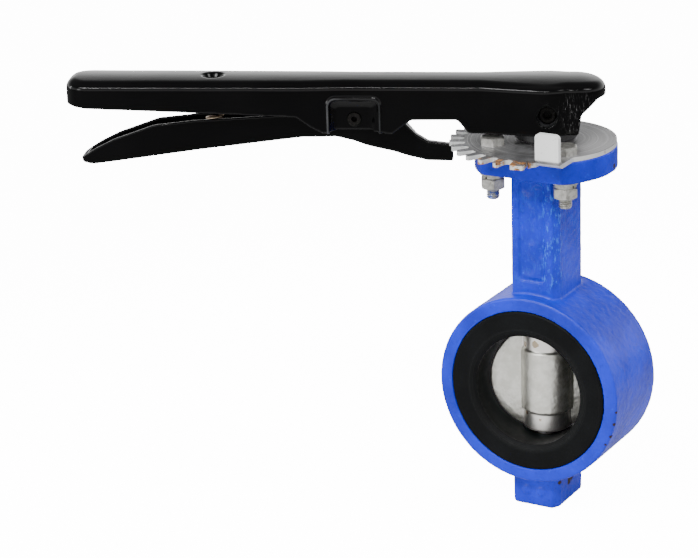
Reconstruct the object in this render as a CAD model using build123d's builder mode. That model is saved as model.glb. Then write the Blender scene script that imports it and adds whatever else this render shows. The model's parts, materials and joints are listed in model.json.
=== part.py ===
"""Wafer butterfly valve, DN 50, with a squeeze-trigger lever and a notched position plate.

Frame: the origin is the bore centre, +Z runs up the stem and +Y runs along the pipe.
The lever points along -X when the valve is shut and along -Y when it is fully open.
It rests two notches open, and the disc always stays parallel to the lever.
All lengths are in millimetres.
"""
from build123d import *
from math import acos, atan2, cos, hypot, radians, sin, sqrt
import os

os.makedirs("parts", exist_ok=True)

# Pipe side
FACE_TO_FACE = 43.0
BODY_R = 44.2
BODY_BORE_R = 32.0
LIP_R = 37.7
LIP_RECESS = 3.0
LINER_PROUD = 0.3
LINER_MOUTH_R = 28.7
LINER_BORE_R = 26.0
LINER_CROWN_R = 26.4
DISC_R = 26.0

# Column (neck and bottom lug), half sizes of the chamfered section
COLUMN_FRONT_X = 9.75
COLUMN_FRONT_Y = 15.5
COLUMN_SIDE_X = 12.0
COLUMN_SIDE_Y = 11.3
LUG_BOTTOM = -59.3

# Top flange and position plate
FLANGE_R = 32.0
FLANGE_FLAT_Y = 25.5
FLANGE_BOTTOM = 100.9
FLANGE_TOP = 111.0
PLATE_THICK = 2.3
PLATE_TOP = FLANGE_TOP + PLATE_THICK
PLATE_R = 31.5
PLATE_TIP_R = 43.0
PLATE_ROOT_R = 36.2
NOTCH_PITCH = 11.25
NOTCH_COUNT = 9
NOTCH_ROOT_WIDTH = 3.8
NOTCH_MOUTH_WIDTH = 6.0
TOOTH_TIP_FILLET = 0.9
STOP_TOP = 126.6
STOP_INNER = 12.0
STOP_OUTER = 23.2
STOP_FACE = 36.2
STOP_BEND_R = 4.6
BOLT_CIRCLE_R = 25.0
BOLT_XY = BOLT_CIRCLE_R / sqrt(2)

# Stem line
STEM_R = 6.3
RUN = 0.05
STEM_SQUARE = 8.8
BUSH_R = 8.8
NECK_BORE_R = 7.0

# M6 fasteners
M6_R = 3.0
M6_HOLE_R = 3.5
M6_ACROSS_FLATS = 10.0
M6_HEAD = 3.6
M6_NUT = 5.0
M6_LENGTH = 25.0
SPRING_WASHER = 1.6
FLAT_WASHER = 1.1

# Lever
REST_ANGLE = 22.5
LEVER_TOP = 142.1
LEVER_HALF = 12.9
LEVER_WAIST = 11.6
TAIL_HALF = 14.0
HEAD_R = 16.8
NOSE_R = 14.0
NOSE_X = -12.5
NOSE_DROP = 3.2
HEAD_BLEND_R = 14.0
TAIL_X = 215.2
SHEET = 2.0
HUB_R = 14.0
HUB_GAP = 1.2
PIVOT_X = 84.4
PIVOT_Z = 124.4
PIN_R = 2.5
SPRING_X = 148.7

# Trigger
TRIGGER_HALF = 6.9
TONGUE_HALF = 2.1
TRIGGER_SHEET = 1.9
TONGUE_R = 41.4

lever_dir = Vector(-cos(radians(REST_ANGLE)), -sin(radians(REST_ANGLE)), 0)
lever_side = Vector(sin(radians(REST_ANGLE)), -cos(radians(REST_ANGLE)), 0)


def lever_plan(z):
    """Level sketch plane at height z, with X out along the lever and Y towards its near side."""
    return Plane(origin=(0, 0, z), x_dir=lever_dir, z_dir=(0, 0, 1))


def lever_side_plane(reach=0.0):
    """Upright sketch plane, with X out along the lever and Y up, reach towards the near side."""
    return Plane(origin=lever_side * reach, x_dir=lever_dir, z_dir=lever_side * -1)


def save(piece, label):
    """Labels a finished piece and writes it as its own STEP file."""
    piece.part.label = label
    export_step(piece.part, f"parts/{label}.step")


def turned_ring(label, outer_r, inner_r, bottom, top, edge=0.3):
    """A plain ring round the stem axis, with small chamfers on its rims."""
    with BuildPart() as ring:
        with BuildSketch(Plane.XY.offset(bottom)):
            Circle(outer_r)
            Circle(inner_r, mode=Mode.SUBTRACT)
        extrude(amount=top - bottom)
        chamfer(ring.edges().filter_by(GeomType.CIRCLE), length=edge)
    save(ring, label)


# ---------------------------------------------------------------- valve body
column_corner = [
    (COLUMN_FRONT_X, -COLUMN_FRONT_Y),
    (COLUMN_SIDE_X, -COLUMN_SIDE_Y),
    (COLUMN_SIDE_X, COLUMN_SIDE_Y),
    (COLUMN_FRONT_X, COLUMN_FRONT_Y),
]
column_points = column_corner + [(-x, y) for x, y in reversed(column_corner)]
PANEL_BOTTOM = 50.0
PANEL_TOP = 97.0
PANEL_WIDTH = 12.5
PANEL_DEPTH = 0.9
SEAL_POCKET_BOTTOM = 88.0
TOP_RECESS_R = 12.0
TOP_RECESS_FLOOR = 106.0
LOWER_BUSH_TOP = 50.0
LUG_BUSH_BOTTOM = -48.0
LUG_BORE_END = -51.0
CAST_EDGE_R = 1.0
LUG_EDGE_R = 2.2
PANEL_CORNER_R = 2.5
PAD_CORNER_R = 1.5

with BuildPart() as valve_body:
    with BuildSketch(Plane.XY.offset(LUG_BOTTOM)):
        Polygon(*column_points, align=None)
    extrude(amount=FLANGE_TOP - 1 - LUG_BOTTOM)
    fillet(valve_body.edges().filter_by(Axis.Z), radius=CAST_EDGE_R)
    fillet(valve_body.edges().group_by(Axis.Z)[0], radius=LUG_EDGE_R)
    with BuildSketch(Plane.XZ):
        Circle(BODY_R)
    extrude(amount=FACE_TO_FACE / 2, both=True)
    rim = valve_body.edges().filter_by(GeomType.CIRCLE).filter_by(
        lambda e: abs(abs(e.center().Y) - FACE_TO_FACE / 2) < 0.01 and e.radius > BODY_R - 1)
    fillet(rim, radius=CAST_EDGE_R)
    with BuildSketch(Plane.XY.offset(FLANGE_BOTTOM)):
        Circle(FLANGE_R)
        Rectangle(2 * FLANGE_R, 2 * FLANGE_FLAT_Y, mode=Mode.INTERSECT)
        fillet(vertices(), radius=PAD_CORNER_R)
    extrude(amount=FLANGE_TOP - FLANGE_BOTTOM)
    # bore and the two face recesses that hold the liner's lips
    with BuildSketch(Plane.XZ):
        Circle(BODY_BORE_R)
    extrude(amount=FACE_TO_FACE, both=True, mode=Mode.SUBTRACT)
    for face_side in (-1, 1):
        with BuildSketch(Plane.XZ.offset(face_side * FACE_TO_FACE / 2)):
            Circle(LIP_R + 0.1)
        extrude(amount=-face_side * LIP_RECESS, mode=Mode.SUBTRACT)
    # cast panels, front and back of the neck
    for face_side in (-1, 1):
        with BuildSketch(Plane.XZ.offset(face_side * COLUMN_FRONT_Y)):
            with Locations((0, (PANEL_TOP + PANEL_BOTTOM) / 2)):
                RectangleRounded(PANEL_WIDTH, PANEL_TOP - PANEL_BOTTOM, PANEL_CORNER_R)
        extrude(amount=-face_side * PANEL_DEPTH, mode=Mode.SUBTRACT)
    # stepped stem bore: clearance, bush pockets, seal pocket and top recess
    with BuildSketch(Plane.XY):
        Circle(NECK_BORE_R)
    extrude(amount=FLANGE_TOP + 1, mode=Mode.SUBTRACT)
    with BuildSketch(Plane.XY):
        Circle(BUSH_R)
    extrude(amount=LOWER_BUSH_TOP, mode=Mode.SUBTRACT)
    with BuildSketch(Plane.XY.offset(SEAL_POCKET_BOTTOM)):
        Circle(BUSH_R)
    extrude(amount=FLANGE_TOP - SEAL_POCKET_BOTTOM, mode=Mode.SUBTRACT)
    with BuildSketch(Plane.XY.offset(TOP_RECESS_FLOOR)):
        Circle(TOP_RECESS_R)
    extrude(amount=FLANGE_TOP - TOP_RECESS_FLOOR, mode=Mode.SUBTRACT)
    with BuildSketch(Plane.XY):
        Circle(NECK_BORE_R)
    extrude(amount=LUG_BORE_END, mode=Mode.SUBTRACT)
    with BuildSketch(Plane.XY):
        Circle(BUSH_R)
    extrude(amount=LUG_BUSH_BOTTOM, mode=Mode.SUBTRACT)
    # four pad holes, of which the two front ones carry the plate bolts
    with BuildSketch(Plane.XY.offset(FLANGE_BOTTOM)):
        with GridLocations(2 * BOLT_XY, 2 * BOLT_XY, 2, 2):
            Circle(M6_HOLE_R)
    extrude(amount=FLANGE_TOP - FLANGE_BOTTOM, mode=Mode.SUBTRACT)
save(valve_body, "valve_body")

# ---------------------------------------------------------------- seat liner
liner_half = FACE_TO_FACE / 2 + LINER_PROUD
lip_back = FACE_TO_FACE / 2 - LIP_RECESS
MOUTH_DEPTH = 1.3
LIP_EDGE = 0.6
CROWN_HALF = 6.0
SNUG = 0.05

with BuildPart() as seat_liner:
    with BuildSketch(Plane.XY):
        with BuildLine():
            outline = Polyline(
                (LINER_BORE_R, -CROWN_HALF),
                (LINER_BORE_R, -liner_half + MOUTH_DEPTH),
                (LINER_MOUTH_R, -liner_half),
                (LIP_R - LIP_EDGE, -liner_half),
                (LIP_R, -liner_half + LIP_EDGE),
                (LIP_R, -lip_back - SNUG),
                (BODY_BORE_R - SNUG, -lip_back - SNUG),
                (BODY_BORE_R - SNUG, lip_back + SNUG),
                (LIP_R, lip_back + SNUG),
                (LIP_R, liner_half - LIP_EDGE),
                (LIP_R - LIP_EDGE, liner_half),
                (LINER_MOUTH_R, liner_half),
                (LINER_BORE_R, liner_half - MOUTH_DEPTH),
                (LINER_BORE_R, CROWN_HALF),
            )
            ThreePointArc(outline @ 1, (LINER_CROWN_R, 0), outline @ 0)
        make_face()
    revolve(axis=Axis.Y)
    with BuildSketch(Plane.XY.offset(-BODY_BORE_R - 1)):
        Circle(STEM_R + 2 * RUN)
    extrude(amount=2 * BODY_BORE_R + 2, mode=Mode.SUBTRACT)
save(seat_liner, "seat_liner")

# ---------------------------------------------------------------- disc
BOSS_R = 11.8
BOSS_HALF = 14.4
HUB_END_R = 10.8
BEVEL_END = 15.2
PLATE_HALF = 2.4
RIM_HALF = 1.5
RIM_EDGE_R = DISC_R - 0.4
RIM_BEVEL_R = DISC_R - 3.0
RIM_BEVEL_HALF = PLATE_HALF - 0.3
SOCKET_CORNER_R = 0.6
SOCKET_SQUARE = STEM_SQUARE + 0.15
SOCKET_BOTTOM = 11.0
DRIVE_TOP = 24.4

with BuildPart() as disc:
    with BuildSketch(lever_plan(0)):
        with BuildLine():
            Polyline((0, -PLATE_HALF), (RIM_BEVEL_R, -RIM_BEVEL_HALF), (RIM_EDGE_R, -RIM_HALF))
            ThreePointArc((RIM_EDGE_R, -RIM_HALF), (DISC_R, 0), (RIM_EDGE_R, RIM_HALF))
            Polyline((RIM_EDGE_R, RIM_HALF), (RIM_BEVEL_R, RIM_BEVEL_HALF), (0, PLATE_HALF),
                     (0, -PLATE_HALF))
        make_face()
    revolve(axis=Axis((0, 0, 0), tuple(lever_side)))
    # boss round the stem line, bevelled down to the two hub ends
    with BuildSketch(lever_plan(0)):
        Circle(BOSS_R)
    extrude(amount=BOSS_HALF, both=True)
    for end in (-1, 1):
        with BuildSketch(Plane.XY.offset(end * BOSS_HALF)):
            Circle(BOSS_R)
        with BuildSketch(Plane.XY.offset(end * BEVEL_END)):
            Circle(HUB_END_R)
        loft()
        with BuildSketch(Plane.XY.offset(end * BEVEL_END)):
            Circle(HUB_END_R)
        extrude(amount=end * (DISC_R - BEVEL_END))
    Sphere(DISC_R, mode=Mode.INTERSECT)
    with BuildSketch(lever_plan(SOCKET_BOTTOM)):
        Rectangle(SOCKET_SQUARE, SOCKET_SQUARE)
        fillet(vertices(), radius=SOCKET_CORNER_R)
    extrude(amount=DISC_R, mode=Mode.SUBTRACT)
    with BuildSketch(Plane.XY.offset(DRIVE_TOP - 0.1)):
        Circle(STEM_R + RUN)
    extrude(amount=DISC_R, mode=Mode.SUBTRACT)
    with BuildSketch(Plane.XY.offset(-SOCKET_BOTTOM)):
        Circle(STEM_R + RUN)
    extrude(amount=-DISC_R, mode=Mode.SUBTRACT)
save(disc, "disc")

# ---------------------------------------------------------------- stems, bushes, seals
STEM_SHOULDER = 114.9
STEM_TOP = 134.0
CIRCLIP_BOTTOM = 107.6
CIRCLIP_TOP = 108.7
CIRCLIP_GROOVE_R = 5.5
CIRCLIP_PLAY = 0.1
CIRCLIP_R = 9.2
CIRCLIP_GAP = 5.0
SQUARE_CORNER_R = 0.7
STEM_EDGE = 0.5
SOCKET_PLAY = 0.5

with BuildPart() as upper_stem:
    with BuildSketch(Plane.XY.offset(DRIVE_TOP)):
        Circle(STEM_R)
    extrude(amount=STEM_SHOULDER - DRIVE_TOP)
    chamfer(upper_stem.edges().group_by(Axis.Z)[-1], length=STEM_EDGE)
    with BuildSketch(Plane.XY.offset(CIRCLIP_BOTTOM - CIRCLIP_PLAY)):
        Circle(STEM_R + 1)
        Circle(CIRCLIP_GROOVE_R, mode=Mode.SUBTRACT)
    extrude(amount=CIRCLIP_TOP - CIRCLIP_BOTTOM + 2 * CIRCLIP_PLAY, mode=Mode.SUBTRACT)
    for square_bottom, square_top in ((SOCKET_BOTTOM + SOCKET_PLAY, DRIVE_TOP), (STEM_SHOULDER, STEM_TOP)):
        with BuildSketch(lever_plan(square_bottom)):
            Rectangle(STEM_SQUARE, STEM_SQUARE)
            fillet(vertices(), radius=SQUARE_CORNER_R)
        extrude(amount=square_top - square_bottom)
save(upper_stem, "upper_stem")

LOWER_STEM_BOTTOM = -50.0
UPPER_BUSH_BOTTOM = 94.2
BUSH_FIT_R = BUSH_R - 0.03
BUSH_INNER_R = STEM_R + RUN
BUSH_START = BODY_BORE_R + 0.4
THRUST_WASHER_R = TOP_RECESS_R - 0.4
THRUST_WASHER_THICK = 1.0
thrust_top = TOP_RECESS_FLOOR + THRUST_WASHER_THICK
turned_ring("upper_bush", BUSH_FIT_R, BUSH_INNER_R, UPPER_BUSH_BOTTOM, TOP_RECESS_FLOOR)
turned_ring("lower_bush", BUSH_FIT_R, BUSH_INNER_R, BUSH_START, LOWER_BUSH_TOP)
turned_ring("lug_bush", BUSH_FIT_R, BUSH_INNER_R, LUG_BUSH_BOTTOM, -BUSH_START)
turned_ring("thrust_washer", THRUST_WASHER_R, BUSH_INNER_R, TOP_RECESS_FLOOR, thrust_top, edge=0.2)

with BuildPart() as lower_stem:
    with BuildSketch(Plane.XY.offset(LOWER_STEM_BOTTOM)):
        Circle(STEM_R)
    extrude(amount=-SOCKET_BOTTOM - SOCKET_PLAY - LOWER_STEM_BOTTOM)
    chamfer(lower_stem.edges().filter_by(GeomType.CIRCLE), length=STEM_EDGE)
save(lower_stem, "lower_stem")

O_RING_WIRE_R = 1.17
O_RING_HEIGHTS = (SEAL_POCKET_BOTTOM + 1.5, SEAL_POCKET_BOTTOM + 4.5)

with BuildPart() as stem_o_rings:
    for ring_z in O_RING_HEIGHTS:
        with BuildSketch(Plane.XZ):
            with Locations((STEM_R + RUN + O_RING_WIRE_R, ring_z)):
                Circle(O_RING_WIRE_R)
        revolve(axis=Axis.Z)
save(stem_o_rings, "stem_o_rings")

with BuildPart() as stem_circlip:
    with BuildSketch(lever_plan(CIRCLIP_BOTTOM)):
        Circle(CIRCLIP_R)
        Circle(CIRCLIP_GROOVE_R + RUN, mode=Mode.SUBTRACT)
        with Locations((-CIRCLIP_R, 0)):
            Rectangle(CIRCLIP_R, CIRCLIP_GAP, mode=Mode.SUBTRACT)
    extrude(amount=CIRCLIP_TOP - CIRCLIP_BOTTOM)
save(stem_circlip, "stem_circlip")

# ---------------------------------------------------------------- position plate
PLATE_BORE_R = 8.0
SECTOR_MARGIN = 12.5
SHUT_ANGLE = 180.0
NOTCH_ROOT_FILLET = 1.4
STOP_CORNER_R = 2.0
sector_start = SHUT_ANGLE - SECTOR_MARGIN
sector_span = (NOTCH_COUNT - 1) * NOTCH_PITCH + 2 * SECTOR_MARGIN
notch_root_corner = hypot(PLATE_ROOT_R, NOTCH_ROOT_WIDTH / 2)
bend_start = STOP_FACE - STOP_BEND_R
bend_top = FLANGE_TOP + STOP_BEND_R
stop_back = STOP_FACE - PLATE_THICK
RELIEF_START = (9.6, 38.2)
RELIEF_END = (STOP_INNER - 0.1, 34.6)
WEB_ROOT = 20.0
stop_web = [
    (0, WEB_ROOT),
    RELIEF_START,
    RELIEF_END,
    (STOP_INNER + 0.4, bend_start),
    (STOP_OUTER, bend_start),
    (STOP_OUTER, WEB_ROOT),
]
past_tip = PLATE_TIP_R + 3
notch_shape = [
    (PLATE_ROOT_R, -NOTCH_ROOT_WIDTH / 2),
    (PLATE_TIP_R, -NOTCH_MOUTH_WIDTH / 2),
    (past_tip, -NOTCH_MOUTH_WIDTH / 2),
    (past_tip, NOTCH_MOUTH_WIDTH / 2),
    (PLATE_TIP_R, NOTCH_MOUTH_WIDTH / 2),
    (PLATE_ROOT_R, NOTCH_ROOT_WIDTH / 2),
]
# upright sketch planes of the two bent-up stops, each with X pointing outwards
open_stop = Plane(origin=(STOP_OUTER, 0, 0), x_dir=(0, -1, 0), z_dir=(-1, 0, 0))
shut_stop = Plane(origin=(0, STOP_INNER, 0), x_dir=(-1, 0, 0), z_dir=(0, 1, 0))


def near_radius(radius):
    """Test for sketch vertices that lie on the circle of that radius."""
    return lambda vertex: abs(hypot(vertex.X, vertex.Y) - radius) < 0.05


with BuildPart() as notch_plate:
    with BuildSketch(Plane.XY.offset(FLANGE_TOP)):
        Circle(PLATE_R)
        with BuildLine():
            arc = CenterArc((0, 0), PLATE_TIP_R, sector_start, sector_span)
            Line(arc @ 1, (0, 0))
            Line((0, 0), arc @ 0)
        make_face()
        # webs that carry the two stops, one past each end of the toothed sector
        Polygon(*[(x, -y) for x, y in stop_web], align=None)
        Polygon(*[(-y, x) for x, y in stop_web], align=None)
        for notch in range(NOTCH_COUNT):
            with Locations(Location((0, 0, 0), (0, 0, SHUT_ANGLE + notch * NOTCH_PITCH))):
                Polygon(*notch_shape, align=None, mode=Mode.SUBTRACT)
        fillet(vertices().filter_by(near_radius(PLATE_TIP_R)), radius=TOOTH_TIP_FILLET)
        fillet(vertices().filter_by(near_radius(notch_root_corner)), radius=NOTCH_ROOT_FILLET)
        Circle(PLATE_BORE_R, mode=Mode.SUBTRACT)
        with Locations((BOLT_XY, -BOLT_XY), (-BOLT_XY, -BOLT_XY)):
            Circle(M6_HOLE_R, mode=Mode.SUBTRACT)
    extrude(amount=PLATE_THICK)
    # bent-up stops: the first meets the open lever, the second the shut one
    for stop_plane in (open_stop, shut_stop):
        with BuildSketch(stop_plane):
            with BuildLine():
                foot = Line((bend_start - 1, FLANGE_TOP), (bend_start, FLANGE_TOP))
                CenterArc((bend_start, bend_top), STOP_BEND_R, -90, 90)
                Polyline((STOP_FACE, bend_top), (STOP_FACE, STOP_TOP),
                         (stop_back, STOP_TOP), (stop_back, bend_top))
                CenterArc((bend_start, bend_top), STOP_BEND_R - PLATE_THICK, 0, -90)
                Polyline((bend_start, PLATE_TOP), (bend_start - 1, PLATE_TOP), foot @ 0)
            make_face()
        extrude(amount=STOP_OUTER - STOP_INNER)
    stop_corners = notch_plate.edges().group_by(Axis.Z)[-1].sort_by(Edge.length)[:4]
    fillet(stop_corners, radius=STOP_CORNER_R)
save(notch_plate, "notch_plate")

# ---------------------------------------------------------------- plate fasteners
bolt_places = [(BOLT_XY, -BOLT_XY), (-BOLT_XY, -BOLT_XY)]
HEX_CHAMFER_TAPER = -60.0
HEX_FACE_R = 0.95 * M6_ACROSS_FLATS / 2
M6_TIP_CHAMFER = 0.7
WASHER_R = 5.5
WASHER_PLAY = 0.2
SEATING_GAP = 0.01
washer_bottom = FLANGE_BOTTOM - SEATING_GAP - FLAT_WASHER
nut_top = washer_bottom - SPRING_WASHER - 2 * SEATING_GAP
nut_bottom = nut_top - M6_NUT

with BuildPart() as plate_bolts:
    with BuildSketch(Plane.XY.offset(PLATE_TOP)):
        with Locations(*bolt_places):
            RegularPolygon(M6_ACROSS_FLATS / 2, 6, major_radius=False)
    extrude(amount=M6_HEAD)
    with BuildSketch(Plane.XY.offset(PLATE_TOP + M6_HEAD)):
        with Locations(*bolt_places):
            Circle(HEX_FACE_R)
    extrude(amount=-M6_HEAD, taper=HEX_CHAMFER_TAPER, mode=Mode.INTERSECT)
    with BuildSketch(Plane.XY.offset(PLATE_TOP)):
        with Locations(*bolt_places):
            Circle(M6_R)
    extrude(amount=-M6_LENGTH)
    chamfer(plate_bolts.edges().group_by(Axis.Z)[0], length=M6_TIP_CHAMFER)
save(plate_bolts, "plate_bolts")

with BuildPart() as flat_washers:
    with BuildSketch(Plane.XY.offset(washer_bottom)):
        with Locations(*bolt_places):
            Circle(WASHER_R)
            Circle(M6_R + WASHER_PLAY, mode=Mode.SUBTRACT)
    extrude(amount=FLAT_WASHER)
save(flat_washers, "flat_washers")

with BuildPart() as spring_washers:
    with BuildSketch(Plane.XY.offset(washer_bottom - SEATING_GAP)):
        with Locations(*bolt_places):
            Circle(M6_ACROSS_FLATS / 2)
            Circle(M6_R + WASHER_PLAY / 2, mode=Mode.SUBTRACT)
    extrude(amount=-SPRING_WASHER)
save(spring_washers, "spring_washers")

with BuildPart() as plate_nuts:
    with BuildSketch(Plane.XY.offset(nut_bottom)):
        with Locations(*bolt_places):
            RegularPolygon(M6_ACROSS_FLATS / 2, 6, major_radius=False)
    extrude(amount=M6_NUT)
    for face_z, into in ((nut_bottom, M6_NUT), (nut_top, -M6_NUT)):
        with BuildSketch(Plane.XY.offset(face_z)):
            with Locations(*bolt_places):
                Circle(HEX_FACE_R)
        extrude(amount=into, taper=HEX_CHAMFER_TAPER, mode=Mode.INTERSECT)
    with BuildSketch(Plane.XY.offset(nut_bottom)):
        with Locations(*bolt_places):
            Circle(M6_R + RUN)
    extrude(amount=M6_NUT, mode=Mode.SUBTRACT)
save(plate_nuts, "plate_nuts")

# ---------------------------------------------------------------- lever
SKIRT_BOTTOM = 112.0
TOP_FILLET = 4.6
HEAD_EDGE = 118.4
HEAD_RAMP = 28.0
WAIST_END = 88.0
TAIL_START = WAIST_END + 20
TAIL_CORNER_R = 10.5
NOSE_FALL_START = -13.4
NOSE_END = -28.0
NOSE_BLEND_R = 5.0
SCREW_X = -1.4
SCREW_Z = 127.4
SCREW_HOLE_R = 4.2
DIMPLE_R = 5.0
DIMPLE_HOLE_R = 2.6
DIMPLE_DEPTH = 2.6
DIMPLE_SLOPE = 1.4
RECESS_INNER = 7.45
RECESS_OVERSHOOT = 1.2
RECESS_MOUTH_R = 4.0
RECESS_FLOOR_R = 1.6
SKIRT_EDGE_R = 1.7
recess_back = [(75, SKIRT_BOTTOM), (94.5, SKIRT_BOTTOM), (95, 132.8), (73.5, 132.8)]
recess_mouth = [(75.2, SKIRT_BOTTOM), (95, SKIRT_BOTTOM), (97.2, 135.8), (71.2, 135.8)]
recess_floor = [(77.4, SKIRT_BOTTOM), (92.2, SKIRT_BOTTOM), (92.8, 130.4), (76.8, 130.4)]
spring_spot = (SPRING_X * lever_dir.X, SPRING_X * lever_dir.Y)
skirt_edge = [
    (-40, 133.5),
    (-23.6, 133.9),
    (-16.4, 127.6),
    (-15.0, HEAD_EDGE),
    (33.3, HEAD_EDGE),
    (38.5, 124.6),
    (59, 124.3),
    (67.5, 117.8),
    (76, 119.3),
    (92.5, 119.3),
    (98.2, 118.2),
    (103.5, 121.0),
    (110, 125.8),
    (139, 127.1),
    (204, 129.4),
    (TAIL_X + 5, 131.0),
]


def lever_outline(inset):
    """Plan of the pressed lever, drawn inset from its outer skin into the current sketch."""
    half = LEVER_HALF - inset
    waist = LEVER_WAIST - inset
    tail = TAIL_X - inset
    tail_half = TAIL_HALF - inset
    head = HEAD_R - inset
    ramp_angle = atan2(waist, HEAD_RAMP) + acos(head / hypot(waist, HEAD_RAMP))
    ramp_x = head * cos(ramp_angle)
    ramp_y = head * sin(ramp_angle)
    near_side = [(0, -head / 2), (ramp_x, -ramp_y), (HEAD_RAMP, -waist), (WAIST_END, -waist),
                 (TAIL_START, -half), (tail, -tail_half)]
    far_side = [(x, -y) for x, y in reversed(near_side)]
    Polygon(*near_side, *far_side, align=None)
    fillet(vertices().group_by(SortBy.DISTANCE)[-1], radius=TAIL_CORNER_R - inset)
    fillet(vertices().filter_by(lambda v: abs(v.X - HEAD_RAMP) < 0.01), radius=HEAD_BLEND_R + inset)
    Circle(head)
    with Locations((NOSE_X, 0)):
        Circle(NOSE_R - inset)
    fillet(vertices().filter_by(lambda v: v.X < -1), radius=NOSE_BLEND_R + inset)


def nose_fall(top):
    """Start, middle and end of the curve along which that surface falls towards the nose."""
    middle = ((NOSE_FALL_START + NOSE_END) / 2, top - NOSE_DROP / 4)
    return (NOSE_FALL_START, top), middle, (NOSE_END, top - NOSE_DROP)


with BuildPart() as lever_cavity:
    with BuildSketch(lever_plan(SKIRT_BOTTOM)):
        lever_outline(SHEET)
    extrude(amount=LEVER_TOP - SHEET - SKIRT_BOTTOM)
    with BuildSketch(lever_side_plane()):
        with BuildLine():
            fall = ThreePointArc(*nose_fall(LEVER_TOP - SHEET))
            Polyline(fall @ 1, (NOSE_END, LEVER_TOP + 1), (NOSE_FALL_START, LEVER_TOP + 1), fall @ 0)
        make_face()
    extrude(amount=HEAD_R + 5, both=True, mode=Mode.SUBTRACT)

with BuildPart() as lever:
    with BuildSketch(lever_plan(SKIRT_BOTTOM)):
        lever_outline(0)
    extrude(amount=LEVER_TOP - SKIRT_BOTTOM)
    with BuildSketch(lever_side_plane()):
        with BuildLine():
            fall = ThreePointArc(*nose_fall(LEVER_TOP))
            Polyline(fall @ 1, (NOSE_END, LEVER_TOP + 1), (NOSE_FALL_START, LEVER_TOP + 1), fall @ 0)
        make_face()
    extrude(amount=HEAD_R + 5, both=True, mode=Mode.SUBTRACT)
    top_edges = lever.edges().filter_by(lambda e: e.center().Z > LEVER_TOP - 2 * NOSE_DROP)
    rim_edges = top_edges.filter_by(lambda e: hypot(e.center().X, e.center().Y) > LEVER_WAIST - 1)
    fillet(rim_edges, radius=TOP_FILLET)
    add(lever_cavity.part, mode=Mode.SUBTRACT)
    # the skirt is pressed inwards on both sides, where it carries the pivot
    for near in (-1, 1):
        with BuildSketch(lever_side_plane(near * RECESS_INNER)):
            Polygon(*recess_back, align=None)
            fillet(vertices().group_by(Axis.Z)[-1], radius=RECESS_FLOOR_R)
        extrude(amount=-near * (LEVER_WAIST - 1 - RECESS_INNER))
        with BuildSketch(lever_side_plane(near * (LEVER_WAIST + RECESS_OVERSHOOT))):
            Polygon(*recess_mouth, align=None)
            fillet(vertices().group_by(Axis.Z)[-1], radius=RECESS_MOUTH_R)
        with BuildSketch(lever_side_plane(near * (RECESS_INNER + SHEET))):
            Polygon(*recess_floor, align=None)
            fillet(vertices().group_by(Axis.Z)[-1], radius=RECESS_FLOOR_R)
        loft(mode=Mode.SUBTRACT)
    # lower edge of the skirt, from the open nose to the tail
    with BuildSketch(lever_side_plane()):
        with BuildLine():
            edge = FilletPolyline(*skirt_edge, radius=SKIRT_EDGE_R)
            Polyline(edge @ 1, (TAIL_X + 5, SKIRT_BOTTOM - 1), (-40, SKIRT_BOTTOM - 1), edge @ 0)
        make_face()
    extrude(amount=HEAD_R + 5, both=True, mode=Mode.SUBTRACT)
    # dimple over the spring
    with BuildSketch(Plane.XY.offset(LEVER_TOP - SHEET)):
        with Locations(spring_spot):
            Circle(DIMPLE_R + DIMPLE_SLOPE)
    with BuildSketch(Plane.XY.offset(LEVER_TOP - SHEET - DIMPLE_DEPTH)):
        with Locations(spring_spot):
            Circle(DIMPLE_HOLE_R + SHEET)
    loft()
    with BuildSketch(Plane.XY.offset(LEVER_TOP)):
        with Locations(spring_spot):
            Circle(DIMPLE_R)
    with BuildSketch(Plane.XY.offset(LEVER_TOP - DIMPLE_DEPTH)):
        with Locations(spring_spot):
            Circle(DIMPLE_HOLE_R + DIMPLE_SLOPE / 2)
    loft(mode=Mode.SUBTRACT)
    with BuildSketch(Plane.XY.offset(LEVER_TOP)):
        with Locations(spring_spot):
            Circle(DIMPLE_HOLE_R)
    extrude(amount=-2 * SHEET - DIMPLE_DEPTH, mode=Mode.SUBTRACT)
    # pin holes and the set screw's hole
    with BuildSketch(lever_side_plane()):
        with Locations((PIVOT_X, PIVOT_Z)):
            Circle(PIN_R + RUN)
    extrude(amount=HEAD_R, both=True, mode=Mode.SUBTRACT)
    with BuildSketch(lever_side_plane(HUB_R - 2)):
        with Locations((SCREW_X, SCREW_Z)):
            Circle(SCREW_HOLE_R)
    extrude(amount=-HEAD_R, mode=Mode.SUBTRACT)
save(lever, "lever")

# ---------------------------------------------------------------- hub and set screw
HUB_SQUARE = STEM_SQUARE + 0.2
SCREW_R = 4.0
SCREW_TIP = STEM_SQUARE / 2 + 0.15
SCREW_LENGTH = 8.0
SCREW_SOCKET = 4.0

with BuildPart() as lever_hub:
    with BuildSketch(Plane.XY.offset(PLATE_TOP + HUB_GAP)):
        Circle(HUB_R)
    extrude(amount=LEVER_TOP - SHEET - PLATE_TOP - HUB_GAP)
    chamfer(lever_hub.edges().filter_by(GeomType.CIRCLE), length=0.5)
    with BuildSketch(lever_plan(PLATE_TOP)):
        Rectangle(HUB_SQUARE, HUB_SQUARE)
        fillet(vertices(), radius=0.5)
    extrude(amount=STEM_TOP + 0.5 - PLATE_TOP, mode=Mode.SUBTRACT)
    with BuildSketch(Plane.XY.offset(PLATE_TOP)):
        Circle(STEM_R + 0.3)
    extrude(amount=STEM_SHOULDER + 0.3 - PLATE_TOP, mode=Mode.SUBTRACT)
    with BuildSketch(lever_side_plane()):
        with Locations((SCREW_X, SCREW_Z)):
            Circle(SCREW_R + RUN)
    extrude(amount=-HUB_R, mode=Mode.SUBTRACT)
save(lever_hub, "lever_hub")

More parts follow.
